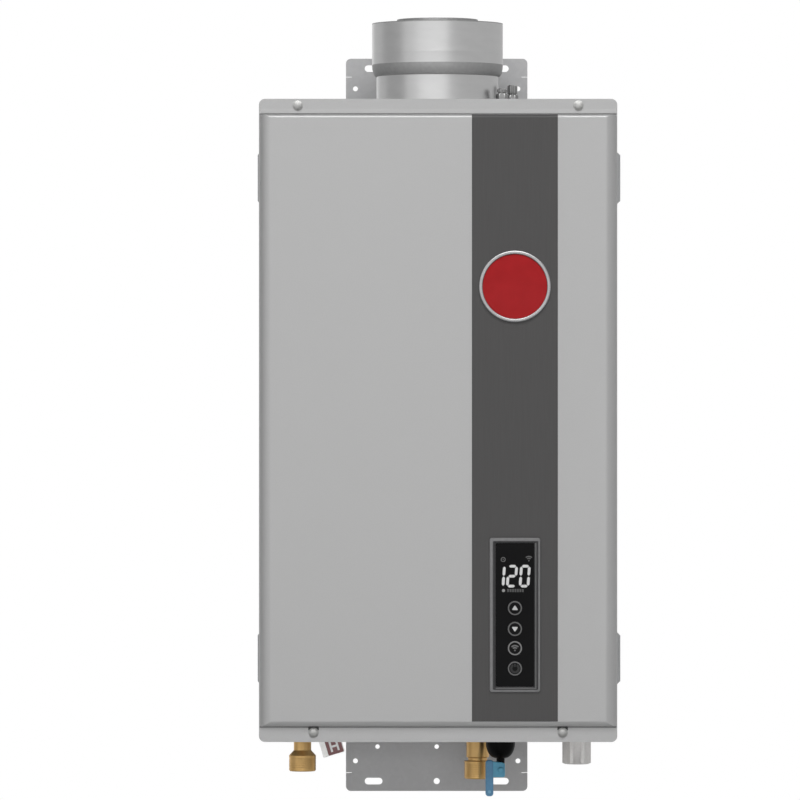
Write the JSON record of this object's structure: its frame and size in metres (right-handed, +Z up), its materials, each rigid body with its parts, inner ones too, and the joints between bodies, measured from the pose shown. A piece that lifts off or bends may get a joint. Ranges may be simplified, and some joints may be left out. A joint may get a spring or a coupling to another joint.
{
  "type": "tankless gas water heater",
  "caption": "Wall-hung tankless gas water heater with a light grey cover, dark accent strip, red badge, touch control panel, concentric vent collar and brass pipe fittings.",
  "frame": {"origin": "centre of the four wall slots, on the wall plane", "axes": "+Z up, +Y into the wall, +X to the right seen from the front; the front faces -Y"},
  "size_m": [0.3583, 0.2537, 0.7743],
  "materials": {
    "case_paint": "satin grey powder coat",
    "cover_paint": "satin light grey powder coat",
    "strip_film": "matte dark grey film",
    "trim_chrome": "satin chrome",
    "badge_enamel": "gloss red enamel",
    "bezel_plastic": "satin dark grey",
    "panel_gloss": "gloss black",
    "button_plastic": "gloss black with white symbols",
    "bracket_zinc": "galvanised",
    "screw_steel": "zinc plated",
    "vent_steel": "stainless",
    "brass_body": "machined",
    "black_nylon": "moulded",
    "blue_nylon": "moulded",
    "tag_card": "printed plastic card",
    "gas_alloy": "cast",
    "copper_tube": "drawn copper",
    "inner_steel": "aluminised sheet",
    "board_green": "coated circuit board",
    "seal_rubber": "matte",
    "white_ceramic": "glazed"
  },
  "bodies": {
    "root": {"case_wrap": "case_paint", "top_plate": "case_paint", "bottom_plate": "case_paint", "mouth_frame": "case_paint", "side_pads": "case_paint", "upper_bracket": "bracket_zinc", "lower_bracket": "bracket_zinc", "fixing_screws": "screw_steel", "sampling_ports": "screw_steel", "vent_collar": "vent_steel", "flue_pipe": "vent_steel", "flue_hood": "vent_steel", "hot_outlet": "brass_body", "cold_inlet": "brass_body", "drain_cock": "brass_body", "strainer_bowl": "black_nylon", "power_gland": "black_nylon", "fan_motor": "black_nylon", "flow_sensor": "black_nylon", "flow_valve": "black_nylon", "controller_box": "black_nylon", "ignition_module": "black_nylon", "overheat_switch": "black_nylon", "hot_tag": "tag_card", "tag_tie": "tag_card", "gas_inlet": "gas_alloy", "gas_valve": "gas_alloy", "hx_shell": "copper_tube", "hx_fins": "copper_tube", "hx_tube": "copper_tube", "cold_pipe": "copper_tube", "hot_pipe": "copper_tube", "hx_straps": "inner_steel", "burner_box": "inner_steel", "burner_bars": "inner_steel", "gas_manifold": "inner_steel", "gas_pipe": "inner_steel", "fan_housing": "inner_steel", "controller_board": "board_green", "cover_gasket": "seal_rubber", "electrodes": "white_ceramic"},
    "cover": {"front_cover": "cover_paint", "cover_screws": "screw_steel", "accent_strip": "strip_film", "badge_rim": "trim_chrome", "badge_face": "badge_enamel", "panel_bezel": "bezel_plastic", "panel_glass": "panel_gloss", "panel_housing": "bezel_plastic", "display_board": "board_green"},
    "up_button": {"up_button": "button_plastic"},
    "down_button": {"down_button": "button_plastic"},
    "wireless_button": {"wireless_button": "button_plastic"},
    "power_button": {"power_button": "button_plastic"},
    "drain_lever": {"drain_lever": "blue_nylon", "drain_spindle": "brass_body", "lever_screw": "blue_nylon"},
    "fan_impeller": {"fan_impeller": "inner_steel"},
    "flow_turbine": {"flow_turbine": "tag_card"},
    "gas_plunger": {"gas_plunger": "inner_steel"}
  },
  "joints": [
    {"name": "cover_slide", "type": "slide", "parent": "root", "child": "cover", "axis": [0, -1, 0], "range_m": [0, 0.12]},
    {"name": "up_button_press", "type": "slide", "parent": "cover", "child": "up_button", "axis": [0, 1, 0], "range_m": [0, 0.0006], "stiffness_N_per_m": 600},
    {"name": "down_button_press", "type": "slide", "parent": "cover", "child": "down_button", "axis": [0, 1, 0], "range_m": [0, 0.0006], "stiffness_N_per_m": 600},
    {"name": "wireless_button_press", "type": "slide", "parent": "cover", "child": "wireless_button", "axis": [0, 1, 0], "range_m": [0, 0.0006], "stiffness_N_per_m": 600},
    {"name": "power_button_press", "type": "slide", "parent": "cover", "child": "power_button", "axis": [0, 1, 0], "range_m": [0, 0.0006], "stiffness_N_per_m": 600},
    {"name": "drain_lever_turn", "type": "hinge", "parent": "root", "child": "drain_lever", "pos_m": [0.0622, -0.1763, -0.33975], "axis": [0, -1, 0], "range_deg": [0, 90]},
    {"name": "fan_spin", "type": "hinge", "parent": "root", "child": "fan_impeller", "pos_m": [0, -0.13, -0.11575], "axis": [0, 1, 0], "continuous": true},
    {"name": "turbine_spin", "type": "hinge", "parent": "root", "child": "flow_turbine", "pos_m": [0.04, -0.13, -0.25455], "axis": [0, 0, 1], "continuous": true},
    {"name": "gas_plunger_slide", "type": "slide", "parent": "root", "child": "gas_plunger", "axis": [0, 1, 0], "range_m": [0, 0.004], "stiffness_N_per_m": 300}
  ]
}
